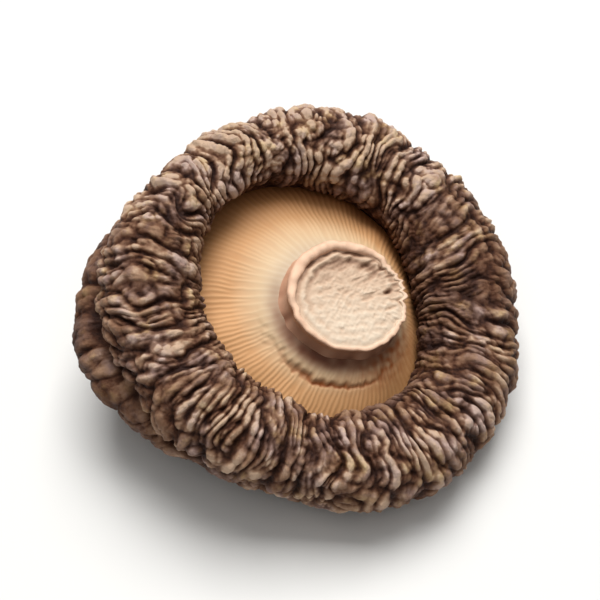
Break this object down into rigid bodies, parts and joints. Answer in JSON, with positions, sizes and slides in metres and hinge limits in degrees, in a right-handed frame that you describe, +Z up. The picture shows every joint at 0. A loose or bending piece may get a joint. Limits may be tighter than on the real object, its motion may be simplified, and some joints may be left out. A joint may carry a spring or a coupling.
{
  "type": "dried shiitake mushroom",
  "caption": "Dried shiitake mushroom, gills up: a dark wrinkled cap with its rim rolled in round pale gills and a short cut stem.",
  "frame": {"origin": "centre of the flat patch of the cap's skin that the mushroom lies on", "axes": "+Z up from the surface it lies on, gills up; the mushroom's own axis leans about 22 degrees from +Z, towards +X and -Y"},
  "size_m": [0.0495, 0.0452, 0.0242],
  "materials": {
    "cap_skin": "dried, deeply wrinkled skin, greyish brown on the ridges and near black in the creases, matt",
    "gill_flesh": "dry papery blades, golden tan at the margin and cream beside the stem, matt",
    "stem_flesh": "dry fibrous flesh, cream on the knife-cut face with a tan rim and a browner side, matt"
  },
  "bodies": {
    "root": {"cap": "cap_skin", "gills": "gill_flesh", "stem": "stem_flesh"}
  },
  "joints": []
}
